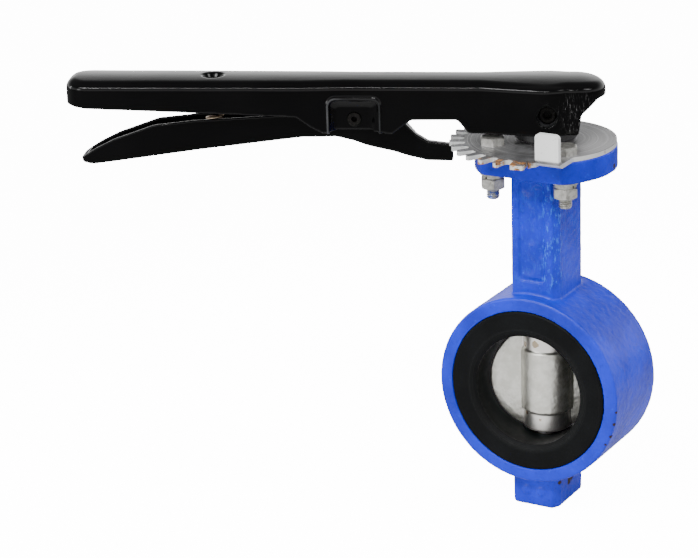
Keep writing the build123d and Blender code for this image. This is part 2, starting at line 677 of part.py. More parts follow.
with BuildPart() as hub_set_screw:
    with BuildSketch(lever_side_plane(SCREW_TIP)):
        with Locations((SCREW_X, SCREW_Z)):
            Circle(SCREW_R)
    extrude(amount=-SCREW_LENGTH)
    chamfer(hub_set_screw.edges().filter_by(GeomType.CIRCLE), length=0.6)
    with BuildSketch(lever_side_plane(SCREW_TIP + SCREW_LENGTH)):
        with Locations((SCREW_X, SCREW_Z)):
            RegularPolygon(SCREW_SOCKET / 2, 6, major_radius=False)
    extrude(amount=SCREW_LENGTH / 2, mode=Mode.SUBTRACT)
save(hub_set_screw, "hub_set_screw")

# ---------------------------------------------------------------- pivot pin and spring
PIN_HEAD_R = 4.2
PIN_ROLLED_R = 2.95
PIN_HOLLOW_R = 1.35
PIN_HEAD_HEIGHT = 1.3
PIN_HEAD_TAPER = 25
PIN_ROLLED_HEIGHT = 0.8
PIN_HOLLOW_DEPTH = 3.0
PIN_PLAY = 0.03
pin_seat = RECESS_INNER + SHEET

with BuildPart() as pivot_pin:
    with BuildSketch(lever_side_plane()):
        with Locations((PIVOT_X, PIVOT_Z)):
            Circle(PIN_R)
    extrude(amount=pin_seat + 2 * PIN_PLAY, both=True)
    with BuildSketch(lever_side_plane(-pin_seat - PIN_PLAY)):
        with Locations((PIVOT_X, PIVOT_Z)):
            Circle(PIN_HEAD_R)
    extrude(amount=PIN_HEAD_HEIGHT, taper=PIN_HEAD_TAPER)
    with BuildSketch(lever_side_plane(pin_seat + PIN_PLAY)):
        with Locations((PIVOT_X, PIVOT_Z)):
            Circle(PIN_ROLLED_R)
    extrude(amount=-PIN_ROLLED_HEIGHT)
    with BuildSketch(lever_side_plane(pin_seat + 1)):
        with Locations((PIVOT_X, PIVOT_Z)):
            Circle(PIN_HOLLOW_R)
    extrude(amount=PIN_HOLLOW_DEPTH + 1, mode=Mode.SUBTRACT)
save(pivot_pin, "pivot_pin")

SPRING_R = 3.6
SPRING_WIRE_R = 0.65
SPRING_BOTTOM = 112.3
SPRING_TURNS = 7
spring_top = LEVER_TOP - SHEET - DIMPLE_DEPTH - 0.05
coil_height = spring_top - SPRING_BOTTOM - 2 * SPRING_WIRE_R

with BuildPart() as trigger_spring:
    with BuildLine(Plane(origin=(*spring_spot, SPRING_BOTTOM + SPRING_WIRE_R))) as coil:
        Helix(pitch=coil_height / SPRING_TURNS, height=coil_height, radius=SPRING_R)
    with BuildSketch(Plane(origin=coil.line @ 0, z_dir=coil.line % 0)):
        Circle(SPRING_WIRE_R)
    sweep(path=coil.line, is_frenet=True)
save(trigger_spring, "trigger_spring")

# ---------------------------------------------------------------- trigger
trigger_sole = [
    (TONGUE_R, 102.9),
    (53, 103.2),
    (60, 104.9),
    (68, 107.9),
    (78, 110.8),
    (85, 113.4),
    (93, 115.3),
    (108, 115.0),
    (131.7, 112.0),
    (155, 108.9),
    (204.3, 101.7),
    (209.4, 102.5),
]
trigger_rim = [
    (210.2, 104.7),
    (202.8, 109.3),
    (194, 113.7),
    (175.5, 120.3),
    (157, 122.5),
    (103, 126.0),
    (92, 130.0),
    (76, 130.0),
    (66.5, 126.5),
    (61.8, 119.7),
    (57.5, 115.0),
    (52.5, 111.9),
    (TONGUE_R, 110.6),
]
HOLLOW_START = 77.5
HOLLOW_END = 206.5
TONGUE_ROOT = 58.0
TAPER_END = 80.0
TRIGGER_TAIL = 211.0
TRIGGER_END_R = 5.0
sole_inside = [(x, z + TRIGGER_SHEET) for x, z in trigger_sole if HOLLOW_START < x < HOLLOW_END]

with BuildPart() as trigger:
    with BuildSketch(lever_side_plane()):
        with BuildLine():
            Polyline(*trigger_sole, *trigger_rim, close=True)
        make_face()
    extrude(amount=TRIGGER_HALF, both=True)
    with BuildSketch(lever_plan(90)):
        Polygon((TONGUE_R - 1, -TONGUE_HALF), (TONGUE_ROOT, -TONGUE_HALF), (TAPER_END, -TRIGGER_HALF),
                (TRIGGER_TAIL, -TRIGGER_HALF), (TRIGGER_TAIL, TRIGGER_HALF), (TAPER_END, TRIGGER_HALF),
                (TONGUE_ROOT, TONGUE_HALF), (TONGUE_R - 1, TONGUE_HALF), align=None)
        fillet(vertices().group_by(SortBy.DISTANCE)[-1], radius=TRIGGER_END_R)
    extrude(amount=50, mode=Mode.INTERSECT)
    with BuildSketch(lever_side_plane()):
        with BuildLine():
            Polyline((HOLLOW_START, 150), *sole_inside, (HOLLOW_END, 104.2), (HOLLOW_END, 150), close=True)
        make_face()
    hollow_half = TRIGGER_HALF - TRIGGER_SHEET
    extrude(amount=hollow_half, both=True, mode=Mode.SUBTRACT)
    with BuildSketch(lever_side_plane()):
        with Locations((PIVOT_X, PIVOT_Z)):
            Circle(PIN_R + RUN)
    extrude(amount=TRIGGER_HALF + 1, both=True, mode=Mode.SUBTRACT)
save(trigger, "trigger")
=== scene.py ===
"""Looks of the wafer butterfly valve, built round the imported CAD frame. All lengths are in metres."""
import bpy
import bmesh
import json
from math import cos, pi, radians, sin, sqrt, tan
from mathutils import Matrix, Vector, noise


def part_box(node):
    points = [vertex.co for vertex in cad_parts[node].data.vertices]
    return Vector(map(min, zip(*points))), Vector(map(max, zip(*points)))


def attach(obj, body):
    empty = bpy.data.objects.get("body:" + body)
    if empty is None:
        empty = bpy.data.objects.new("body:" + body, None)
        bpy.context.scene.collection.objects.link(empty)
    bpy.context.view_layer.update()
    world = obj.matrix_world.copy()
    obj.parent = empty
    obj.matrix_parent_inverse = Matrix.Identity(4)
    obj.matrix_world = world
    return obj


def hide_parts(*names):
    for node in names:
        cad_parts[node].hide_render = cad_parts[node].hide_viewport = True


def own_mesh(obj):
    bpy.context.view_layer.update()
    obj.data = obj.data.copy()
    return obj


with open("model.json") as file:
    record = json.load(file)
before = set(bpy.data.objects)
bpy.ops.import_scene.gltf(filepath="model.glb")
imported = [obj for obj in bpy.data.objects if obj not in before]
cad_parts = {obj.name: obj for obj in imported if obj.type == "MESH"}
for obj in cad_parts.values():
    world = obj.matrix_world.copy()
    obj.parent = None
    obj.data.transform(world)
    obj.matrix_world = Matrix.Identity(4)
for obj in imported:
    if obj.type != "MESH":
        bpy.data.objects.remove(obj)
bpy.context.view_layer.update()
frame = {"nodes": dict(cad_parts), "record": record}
MM = 0.001
REST_ANGLE = radians(22.5)
LEVER_DIR = Vector((-cos(REST_ANGLE), -sin(REST_ANGLE), 0))
LEVER_SIDE = Vector((sin(REST_ANGLE), -cos(REST_ANGLE), 0))

# pivot recess in the lever's sides, in millimetres along and up
RECESS_MIDDLE = 84.4
RECESS_HALF = 11.6
RECESS_TOP = 134.2
RECESS_CORNER = 3.6

# camera: angles in degrees, places in metres, lens in millimetres
CAMERA_AZIMUTH = 30.07
CAMERA_PITCH = 19.3
CAMERA_ROLL = -1.8
CAMERA_DISTANCE = 1.2377
CAMERA_RIGHT = -0.08945
CAMERA_UP = 0.04711
CAMERA_LENS = 139.3


def on_lever(along, side, height):
    """Point given along the lever, towards its near side and up, in millimetres."""
    return (LEVER_DIR * along + LEVER_SIDE * side + Vector((0, 0, height))) * MM


# ---------------------------------------------------------------- camera
def place_camera():
    azimuth = radians(CAMERA_AZIMUTH)
    pitch = radians(CAMERA_PITCH)
    back = Vector((sin(azimuth) * cos(pitch), -cos(azimuth) * cos(pitch), sin(pitch)))
    right = Vector((cos(azimuth), sin(azimuth), 0))
    up = back.cross(right)
    place = back * CAMERA_DISTANCE + right * CAMERA_RIGHT + up * CAMERA_UP
    roll = radians(CAMERA_ROLL)
    tilted_right = right * cos(roll) + up * sin(roll)
    tilted_up = up * cos(roll) - right * sin(roll)
    lens = bpy.data.cameras.new("camera")
    lens.lens = CAMERA_LENS
    lens.sensor_width = 36
    lens.clip_start = 0.05
    camera = bpy.data.objects.new("camera", lens)
    camera.matrix_world = Matrix((
        (tilted_right.x, tilted_up.x, back.x, place.x),
        (tilted_right.y, tilted_up.y, back.y, place.y),
        (tilted_right.z, tilted_up.z, back.z, place.z),
        (0, 0, 0, 1),
    ))
    bpy.context.scene.collection.objects.link(camera)
    bpy.context.scene.camera = camera


# ---------------------------------------------------------------- materials
class Look:
    """A material in the making: each call adds a node and returns its output."""

    def __init__(self, name, rough, metallic=0.0, color=(0.5, 0.5, 0.5)):
        self.material = bpy.data.materials.new(name)
        self.material.use_nodes = True
        self.tree = self.material.node_tree
        self.shader = self.tree.nodes["Principled BSDF"]
        self.set("Roughness", rough)
        self.set("Metallic", metallic)
        self.set("Base Color", color)
        self.place = self.tree.nodes.new("ShaderNodeTexCoord").outputs["Object"]
        self.normal = None

    def set(self, socket, value):
        """Joins an output to a shader socket, or sets the socket to a number or colour."""
        target = self.shader.inputs[socket]
        if isinstance(value, bpy.types.NodeSocket):
            self.tree.links.new(value, target)
        elif isinstance(value, tuple):
            target.default_value = (*value, 1)
        else:
            target.default_value = value

    def feed(self, target, value):
        if isinstance(value, bpy.types.NodeSocket):
            self.tree.links.new(value, target)
        elif isinstance(value, tuple) and len(value) == 3 and target.type == "RGBA":
            target.default_value = (*value, 1)
        else:
            target.default_value = value

    def noise(self, scale, detail=3.0, rough=0.55, stretch=None, place=None):
        node = self.tree.nodes.new("ShaderNodeTexNoise")
        node.inputs["Scale"].default_value = scale
        node.inputs["Detail"].default_value = detail
        node.inputs["Roughness"].default_value = rough
        source = place or self.place
        if stretch:
            mapping = self.tree.nodes.new("ShaderNodeMapping")
            mapping.inputs["Scale"].default_value = stretch
            self.tree.links.new(source, mapping.inputs["Vector"])
            source = mapping.outputs["Vector"]
        self.tree.links.new(source, node.inputs["Vector"])
        return node.outputs["Fac"]

    def math(self, operation, *values):
        node = self.tree.nodes.new("ShaderNodeMath")
        node.operation = operation
        for target, value in zip(node.inputs, values):
            self.feed(target, value)
        return node.outputs["Value"]

    def step(self, source, low, high):
        """0 below low, 1 above high and smooth between them; low above high turns it round."""
        node = self.tree.nodes.new("ShaderNodeMapRange")
        node.interpolation_type = "SMOOTHSTEP"
        self.feed(node.inputs["Value"], source)
        start, end, first, last = (low, high, 0.0, 1.0) if low < high else (high, low, 1.0, 0.0)
        node.inputs["From Min"].default_value = start
        node.inputs["From Max"].default_value = end
        node.inputs["To Min"].default_value = first
        node.inputs["To Max"].default_value = last
        return node.outputs["Result"]

    def scale(self, source, low, high):
        """Takes 0 to 1 linearly to low to high."""
        node = self.tree.nodes.new("ShaderNodeMapRange")
        self.feed(node.inputs["Value"], source)
        node.inputs["To Min"].default_value = low
        node.inputs["To Max"].default_value = high
        return node.outputs["Result"]

    def mix(self, share, first, second):
        node = self.tree.nodes.new("ShaderNodeMix")
        node.data_type = "RGBA"
        self.feed(node.inputs[0], share)
        self.feed(node.inputs[6], first)
        self.feed(node.inputs[7], second)
        return node.outputs[2]

    def axis(self, direction):
        """Distance of the surface point from the origin along a direction."""
        node = self.tree.nodes.new("ShaderNodeVectorMath")
        node.operation = "DOT_PRODUCT"
        self.tree.links.new(self.place, node.inputs[0])
        node.inputs[1].default_value = direction
        return node.outputs["Value"]

    def reach(self, point):
        """Distance of the surface point from a point."""
        node = self.tree.nodes.new("ShaderNodeVectorMath")
        node.operation = "DISTANCE"
        self.tree.links.new(self.place, node.inputs[0])
        node.inputs[1].default_value = point
        return node.outputs["Value"]

    def ring(self, direction):
        """Distance of the surface point from the line through the origin along a main axis."""
        flat = self.tree.nodes.new("ShaderNodeVectorMath")
        flat.operation = "MULTIPLY"
        self.tree.links.new(self.place, flat.inputs[0])
        flat.inputs[1].default_value = [1 - abs(c) for c in direction]
        node = self.tree.nodes.new("ShaderNodeVectorMath")
        node.operation = "LENGTH"
        self.tree.links.new(flat.outputs["Vector"], node.inputs[0])
        return node.outputs["Value"]

    def spots(self, places, ragged):
        """Share of ragged spots round the given points, each with its radius."""
        total = None
        for point, radius in places:
            spread = self.math("ADD", self.reach(point), self.scale(ragged, -radius * 0.7, radius * 0.7))
            spot = self.step(spread, radius * 1.15, radius * 0.8)
            total = spot if total is None else self.math("MAXIMUM", total, spot)
        return total

    def bump(self, height, distance, strength=1.0):
        node = self.tree.nodes.new("ShaderNodeBump")
        node.inputs["Distance"].default_value = distance
        node.inputs["Strength"].default_value = strength
        self.feed(node.inputs["Height"], height)
        if self.normal:
            self.tree.links.new(self.normal, node.inputs["Normal"])
        self.normal = node.outputs["Normal"]
        self.tree.links.new(self.normal, self.shader.inputs["Normal"])


UP = (0, 0, 1)
ALONG_PIPE = (0, 1, 0)
ACROSS = (1, 0, 0)
FRONT_TEETH_SIDE = (0.30, -0.954, 0)
LINER_LINE_PITCH = 0.0007
BOSS_LINE_PITCH = 0.00035
BAR_LINE_PITCH = 0.0003


def blue_paint():
    look = Look("blue_paint", 0.42)
    cast = look.noise(420, 4, 0.6)
    broad = look.noise(45, 3, 0.5)
    fine = look.noise(1900, 3, 0.6)
    paint = look.mix(look.step(broad, 0.35, 0.65), (0.0003, 0.010, 0.38), (0.0005, 0.015, 0.57))
    paint = look.mix(look.math("MULTIPLY", look.step(cast, 0.60, 0.74), 0.30), paint, (0.012, 0.085, 0.90))
    paint = look.mix(look.math("MULTIPLY", look.step(cast, 0.42, 0.28), 0.5), paint, (0.0004, 0.007, 0.24))
    neck = look.math("MULTIPLY", look.step(look.axis(UP), 0.044, 0.052), look.step(look.axis(UP), 0.1005, 0.0990))
    # painted highlight: lighter blue streaks along the neck, strongest near the right edge of its front, stand in for
    # glints of light on the rough casting; the same lines also bump the surface
    grit_and_sheen_noise = look.noise(1.0, 4, 0.7, stretch=(620, 620, 260))
    front_edge = look.math("MULTIPLY", look.step(look.axis(ALONG_PIPE), -0.0080, -0.0100),
                           look.step(look.axis(ACROSS), 0.0030, 0.0062))
    rough_cast_and_sheen_zone = look.math("MULTIPLY", neck, look.math("ADD", look.math("MULTIPLY", front_edge, 0.8), 0.2))
    painted_highlight_streaks = look.math("MULTIPLY", rough_cast_and_sheen_zone, look.step(grit_and_sheen_noise, 0.53, 0.62))
    paint = look.mix(look.math("MULTIPLY", painted_highlight_streaks, 0.5), paint, (0.045, 0.22, 0.95))
    chips = [((0.0117, -0.0118, -0.0466), 0.0012), ((0.0120, -0.0025, -0.0492), 0.0018),
             ((0.0120, 0.0005, -0.0482), 0.0020), ((0.0438, -0.0207, -0.0030), 0.0007),
             ((0.0430, -0.0210, -0.0090), 0.0009), ((0.0412, -0.0207, -0.0150), 0.0010),
             ((0.0388, -0.0212, -0.0192), 0.0006), ((0.0316, 0.0030, 0.1035), 0.0013),
             ((0.0300, 0.0330, -0.0300), 0.0012), ((-0.0422, -0.0211, -0.0110), 0.0008)]
    chipped = look.spots(chips, look.noise(900, 2, 0.7))
    look.set("Base Color", look.mix(chipped, paint, (0.022, 0.011, 0.009)))
    look.set("Roughness", look.math("ADD", look.scale(cast, 0.24, 0.48), look.math("MULTIPLY", chipped, 0.35)))
    look.bump(look.noise(260, 3, 0.5), 0.0005, 0.2)
    look.bump(look.math("MULTIPLY", grit_and_sheen_noise, rough_cast_and_sheen_zone), 0.0009, 0.8)
    look.bump(fine, 0.00012, 0.55)
    look.set("Specular IOR Level", 0.28)
    return look.material


def epdm_rubber():
    look = Look("epdm_rubber", 0.5)
    radius = look.ring(ALONG_PIPE)
    turned = look.math("SINE", look.math("MULTIPLY", radius, 2 * pi / LINER_LINE_PITCH))
    mouth = look.math("MULTIPLY", look.step(radius, 0.0268, 0.0276), look.step(radius, 0.0302, 0.0292))
    cloudy = look.noise(60, 3, 0.5)
    base = look.mix(look.step(cloudy, 0.35, 0.7), (0.0008, 0.0010, 0.0012), (0.0022, 0.0026, 0.0030))
    look.set("Base Color", look.mix(look.math("MULTIPLY", mouth, 0.2), base, (0.009, 0.010, 0.010)))
    look.set("Roughness", look.scale(look.noise(350, 4, 0.6), 0.44, 0.66))
    look.bump(look.math("MULTIPLY", turned, look.math("ADD", mouth, 0.25)), 0.00004, 0.7)
    look.bump(look.noise(2600, 2, 0.6), 0.00004, 0.5)
    look.set("Specular IOR Level", 0.09)
    return look.material


def cast_stainless():
    look = Look("cast_stainless", 0.4, 1.0)
    grain = look.noise(1500, 3, 0.65)
    mottled = look.noise(220, 4, 0.6)
    base = look.mix(look.step(mottled, 0.35, 0.68), (0.61, 0.605, 0.55), (0.745, 0.74, 0.69))
    machined = look.math("MULTIPLY", look.step(look.math("ABSOLUTE", look.axis(UP)), 0.0150, 0.0154),
                         look.step(look.ring(UP), 0.0115, 0.0112))
    base = look.mix(machined, base, (0.84, 0.82, 0.78))
    stain = look.spots([((0.0012, -0.0098, -0.0178), 0.0011), ((-0.0086, -0.0086, 0.0170), 0.0020),
                        ((-0.0064, -0.0090, -0.0158), 0.0013),
                        ((-0.0009, -0.0108, 0.0188), 0.0016)], look.noise(700, 2, 0.6))
    look.set("Base Color", look.mix(look.math("MULTIPLY", stain, 0.75), base, (0.30, 0.20, 0.085)))
    look.set("Roughness", look.math("SUBTRACT", look.scale(grain, 0.33, 0.47), look.math("MULTIPLY", machined, 0.08)))
    cast = look.math("SUBTRACT", 1.0, machined)
    look.bump(look.math("MULTIPLY", look.noise(520, 3, 0.6), cast), 0.00030, 0.5)
    look.bump(grain, 0.00008, 0.6)
    turned = look.math("SINE", look.math("MULTIPLY", look.axis(UP), 2 * pi / BOSS_LINE_PITCH))
    look.bump(look.math("MULTIPLY", turned, machined), 0.00001, 0.5)
    return look.material


def zinc_plate():
    look = Look("zinc_plate", 0.45, 0.75)
    radius = look.ring(UP)
    worn = look.noise(1.0, 3, 0.6, place=look.math("ADD", look.math("MULTIPLY", radius, 2600), look.noise(90, 2, 0.5)))
    mottled = look.noise(160, 4, 0.6)
    base = look.mix(look.step(mottled, 0.3, 0.7), (0.085, 0.085, 0.088), (0.17, 0.17, 0.175))
    # painted light and shade: the outer part of the plate, out from under the lever, is painted lighter, and the rest
    # stays dark as in the lever's shade
    outer = look.step(look.axis(ACROSS), 0.010, 0.024)
    base = look.mix(look.math("MULTIPLY", outer, 0.7), base, (0.33, 0.325, 0.33))
    base = look.mix(look.math("MULTIPLY", look.step(worn, 0.54, 0.64), 0.6), base, (0.58, 0.58, 0.60))
    # painted light: the walls below the plate's top face and the standing stop tab are painted near white, the tab
    # also less metallic, for the light they catch
    painted_lit_walls = look.step(look.axis(UP), 0.1131, 0.1129)
    standing = look.step(look.axis(UP), 0.1140, 0.1150)
    base = look.mix(look.math("MULTIPLY", look.math("MAXIMUM", painted_lit_walls, standing), 0.8), base, (0.80, 0.81, 0.80))
    soiled = look.step(look.noise(500, 3, 0.6), 0.60, 0.70)
    base = look.mix(look.math("MULTIPLY", soiled, 0.5), base, (0.25, 0.24, 0.23))
    teeth = look.math("MULTIPLY", look.step(radius, 0.0355, 0.0385),
                      look.step(look.axis(FRONT_TEETH_SIDE), 0.030, 0.036))
    teeth = look.math("MULTIPLY", teeth, look.step(look.axis(ACROSS), 0.0118, 0.0106))
    rust = look.math("MULTIPLY", teeth, look.step(look.noise(330, 3, 0.6), 0.41, 0.53))
    rust_color = look.mix(look.step(look.noise(900, 2, 0.5), 0.4, 0.6), (0.075, 0.034, 0.014), (0.36, 0.155, 0.042))
    look.set("Base Color", look.mix(rust, base, rust_color))
    look.set("Metallic", look.math("SUBTRACT", look.scale(rust, 0.75, 0.1), look.math("MULTIPLY", standing, 0.68)))
    look.set("Roughness", look.math("ADD", look.scale(mottled, 0.34, 0.56), look.math("MULTIPLY", rust, 0.3)))
    look.bump(worn, 0.00003, 0.5)
    look.bump(look.noise(1200, 3, 0.6), 0.00006, 0.5)
    return look.material


def fastener_zinc():
    look = Look("fastener_zinc", 0.35, 0.9)
    mottled = look.noise(420, 3, 0.6)
    base = look.mix(look.step(mottled, 0.3, 0.7), (0.34, 0.335, 0.31), (0.56, 0.555, 0.525))
    stained = look.step(look.noise(650, 3, 0.6), 0.60, 0.72)
    base = look.mix(look.math("MULTIPLY", stained, 0.55), base, (0.24, 0.20, 0.15))
    spray = look.math("MULTIPLY", look.spots([((-0.0177, -0.0177, 0.0880), 0.0045)], mottled),
                      look.step(look.noise(520, 2, 0.5), 0.42, 0.60))
    look.set("Base Color", look.mix(look.math("MULTIPLY", spray, 0.7), base, (0.03, 0.12, 0.6)))
    look.set("Roughness", look.scale(look.noise(900, 3, 0.6), 0.26, 0.50))
    look.bump(look.noise(1500, 2, 0.6), 0.00004, 0.5)
    return look.material


def black_enamel():
    look = Look("black_enamel", 0.12)
    orange_peel = look.noise(190, 2, 0.4)
    dust = look.noise(700, 3, 0.6)
    base = look.mix(look.step(look.noise(24, 3, 0.5), 0.35, 0.65), (0.0006, 0.0006, 0.0007), (0.0012, 0.0012, 0.0013))
    scratch_lines = look.noise(1.0, 3, 0.7, stretch=(3600, 3600, 260))
    corner = look.step(look.reach(tuple(on_lever(-14, 11, 128))), 0.0120, 0.0045)
    scratched = look.math("MULTIPLY", corner, look.step(scratch_lines, 0.59, 0.70))
    base = look.mix(look.math("MULTIPLY", scratched, 0.8), base, (0.24, 0.24, 0.24))
    # painted highlight: a lighter grey line along the raised rim of the pivot recess stands in for the light the rim
    # catches
    across = look.math("ABSOLUTE", look.math("SUBTRACT", look.axis(tuple(LEVER_DIR)), RECESS_MIDDLE * MM))
    across = look.math("SUBTRACT", across, (RECESS_HALF - RECESS_CORNER) * MM)
    above = look.math("SUBTRACT", look.axis(UP), (RECESS_TOP - RECESS_CORNER) * MM)
    past = look.math("SQRT", look.math("ADD", look.math("POWER", look.math("MAXIMUM", across, 0.0), 2.0),
                                       look.math("POWER", look.math("MAXIMUM", above, 0.0), 2.0)))
    inner = look.math("MINIMUM", look.math("MAXIMUM", across, above), 0.0)
    away = look.math("ABSOLUTE", look.math("SUBTRACT", look.math("ADD", past, inner), RECESS_CORNER * MM))
    rim = look.math("MULTIPLY", look.step(away, 0.0006, 0.0002), look.scale(look.noise(160, 2, 0.5), 0.3, 1.2))
    rim = look.math("MULTIPLY", rim, look.step(look.math("ABSOLUTE", look.axis(tuple(LEVER_SIDE))), 0.0120, 0.0126))
    look.set("Base Color", look.mix(rim, base, (0.055, 0.056, 0.058)))
    look.set("Roughness", look.math("ADD", look.scale(dust, 0.07, 0.17), look.math("MULTIPLY", scratched, 0.35)))
    look.bump(orange_peel, 0.00010, 0.25)
    look.bump(dust, 0.00001, 0.25)
    look.set("Specular IOR Level", 0.14)
    return look.material


def hub_black():
    look = Look("hub_black", 0.4)
    peel = look.noise(420, 3, 0.5)
    look.set("Base Color", look.mix(look.step(peel, 0.35, 0.7), (0.006, 0.006, 0.007), (0.014, 0.014, 0.015)))
    look.set("Roughness", look.scale(peel, 0.25, 0.5))
    look.bump(peel, 0.0001, 0.5)
    return look.material


def black_oxide():
    look = Look("black_oxide", 0.35, 0.3)
    grain = look.noise(1100, 3, 0.6)
    look.set("Base Color", look.mix(look.step(grain, 0.35, 0.7), (0.002, 0.002, 0.002), (0.009, 0.008, 0.007)))
    look.set("Roughness", look.scale(grain, 0.28, 0.5))
    look.set("Specular IOR Level", 0.15)
    look.bump(grain, 0.00005, 0.5)
    return look.material


def metal(name, dark, light, rough_low, rough_high, lines=None):
    """Bare metal with fine grain, and turning marks along a direction where it has them."""
    look = Look(name, rough_high, 1.0)
    grain = look.noise(800, 3, 0.6)
    look.set("Base Color", look.mix(look.step(grain, 0.3, 0.7), dark, light))
    look.set("Roughness", look.scale(grain, rough_low, rough_high))
    if lines:
        turned = look.math("SINE", look.math("MULTIPLY", look.axis(lines), 2 * pi / BAR_LINE_PITCH))
        look.bump(turned, 0.00001, 0.4)
    look.bump(grain, 0.00003, 0.4)
    return look.material


looks = {
    "blue_paint": blue_paint(),
    "epdm_rubber": epdm_rubber(),
    "cast_stainless": cast_stainless(),
    "zinc_plate": zinc_plate(),
    "fastener_zinc": fastener_zinc(),
    "black_enamel": black_enamel(),
    "hub_black": hub_black(),
    "black_oxide": black_oxide(),
    "stem_steel": metal("stem_steel", (0.50, 0.50, 0.49), (0.64, 0.63, 0.62), 0.22, 0.36, UP),
    "bush_bronze": metal("bush_bronze", (0.48, 0.33, 0.13), (0.66, 0.49, 0.24), 0.28, 0.45, UP),
    "spring_steel": metal("spring_steel", (0.26, 0.19, 0.12), (0.50, 0.42, 0.32), 0.30, 0.50),
}

EDGE_ROUNDING = {"notch_plate": 0.30, "lever_hub": 0.25, "hub_set_screw": 0.2, "pivot_pin": 0.25, "thrust_washer": 0.1}
for row in frame["record"]["subparts"]:
    node = frame["nodes"][row["node"]]
    node.data.materials.clear()
    node.data.materials.append(looks[row["material_slot"]])
    if row["node"] in EDGE_ROUNDING:
        rounding = node.modifiers.new("edge rounding", "BEVEL")
        rounding.width = EDGE_ROUNDING[row["node"]] * MM
        rounding.segments = 2
        rounding.limit_method = "ANGLE"
        rounding.angle_limit = radians(40)


# ---------------------------------------------------------------- mesh helpers
def add_piece(name, mesh, body, slot, *nodes):
    """A finished mesh becomes a piece that rides on a body and stands for CAD nodes."""
    mesh.materials.clear()
    mesh.materials.append(looks[slot])
    piece = bpy.data.objects.new(name, mesh)
    bpy.context.scene.collection.objects.link(piece)
    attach(piece, body)
    if nodes:
        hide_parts(*nodes)
    return piece


def softened(node, voxel, passes, turn=0.0):
    """Remeshed and smoothed copy of a CAD node's mesh, worked while turned about Z by an angle."""
    mesh = frame["nodes"][node].data.copy()
    mesh.transform(Matrix.Rotation(turn, 4, "Z"))
    holder = bpy.data.objects.new("holder", mesh)
    bpy.context.scene.collection.objects.link(holder)
    remesh = holder.modifiers.new("remesh", "REMESH")
    remesh.mode = "VOXEL"
    remesh.voxel_size = voxel * MM
    smooth = holder.modifiers.new("smooth", "SMOOTH")
    smooth.factor = 0.5
    smooth.iterations = passes
    graph = bpy.context.evaluated_depsgraph_get()
    result = bpy.data.meshes.new_from_object(holder.evaluated_get(graph))
    bpy.data.objects.remove(holder)
    result.transform(Matrix.Rotation(-turn, 4, "Z"))
    result.shade_smooth()
    return result


def move_out(mesh, offset):
    """Moves each point along its normal by offset(point, normal) metres."""
    normals = [v.vector.copy() for v in mesh.vertex_normals]
    for vertex, normal in zip(mesh.vertices, normals):
        vertex.co += normal * offset(vertex.co, normal)
    mesh.update()


def cast_relief(point, scale, seed):
    """Smooth lumpy noise, about -1 to 1."""
    return noise.fractal(point * scale + Vector((seed, 0, 0)), 0.9, 2.1, 3)


def ease(value, low, high):
    share = min(1.0, max(0.0, (value - low) / (high - low)))
    return share * share * (3 - 2 * share)


# ---------------------------------------------------------------- castings
# front panel of the neck and front of the bottom lug, in millimetres
CAST_FRONT = 13.0
PANEL_HALF = 6.0
PANEL_LOW = 50.5
PANEL_HIGH = 96.5
LUMP_RISE = 0.9
LUG_TOP = -45.5
LUG_BOSS_MIDDLES = (-3.4, 3.6)
LUG_BOSS_HEIGHT = -51.2
LUG_BOSS_R = 2.6
LUG_BOSS_RISE = 0.50


def body_relief(point, normal):
    depth = -0.10 * MM + 0.10 * MM * cast_relief(point, 380, 0)
    across, front, height = point.x / MM, -point.y / MM, point.z / MM
    # shapeless rolling lumps in the front panel of the neck
    if front > CAST_FRONT and normal.y < -0.5 and abs(across) < PANEL_HALF and PANEL_LOW < height < PANEL_HIGH:
        inside = ease(PANEL_HALF - abs(across), 0.2, 1.6)
        inside *= ease(min(height - PANEL_LOW, PANEL_HIGH - height), 0.3, 2.5)
        lump = noise.noise(Vector((point.x * 170 + 9.0, 0, point.z * 130)))
        depth += LUMP_RISE * MM * inside * ease(lump, -0.45, 0.45)
    # two plain round bosses on the front of the bottom lug
    if front > CAST_FRONT and normal.y < -0.5 and height < LUG_TOP:
        for centre in LUG_BOSS_MIDDLES:
            away = sqrt((across - centre) ** 2 + (height - LUG_BOSS_HEIGHT) ** 2)
            depth += LUG_BOSS_RISE * MM * ease(LUG_BOSS_R - away, 0.0, 0.9)
    return depth


MACHINED_FROM = 15.2
MACHINED_R = 11.0


def disc_relief(point, _normal):
    machined = abs(point.z) > MACHINED_FROM * MM and point.x ** 2 + point.y ** 2 < (MACHINED_R * MM) ** 2
    return 0 if machined else -0.05 * MM + 0.07 * MM * cast_relief(point, 700, 5)


casting = softened("valve_body", 0.5, 4)
move_out(casting, body_relief)
add_piece("body_casting", casting, "valve_frame", "blue_paint", "valve_body")

disc_casting = softened("disc", 0.35, 3, REST_ANGLE)
move_out(disc_casting, disc_relief)
add_piece("disc_casting", disc_casting, "lever_and_disc", "cast_stainless", "disc")


# ---------------------------------------------------------------- pressed lever and trigger
CROWN_DROP = 1.1
RIM_RISE = 0.7
RIM_WIDTH = 1.3


def sheet_wave(point, _normal):
    return -0.04 * MM + 0.05 * MM * noise.noise(point * 60)


def recess_edge(along, height):
    """Distance from the rounded outline of the pivot recess on the lever's side, in millimetres."""
    across = abs(along - RECESS_MIDDLE) - (RECESS_HALF - RECESS_CORNER)
    above = height - (RECESS_TOP - RECESS_CORNER)
    outside = sqrt(max(across, 0) ** 2 + max(above, 0) ** 2)
    return abs(outside + min(max(across, above), 0) - RECESS_CORNER)


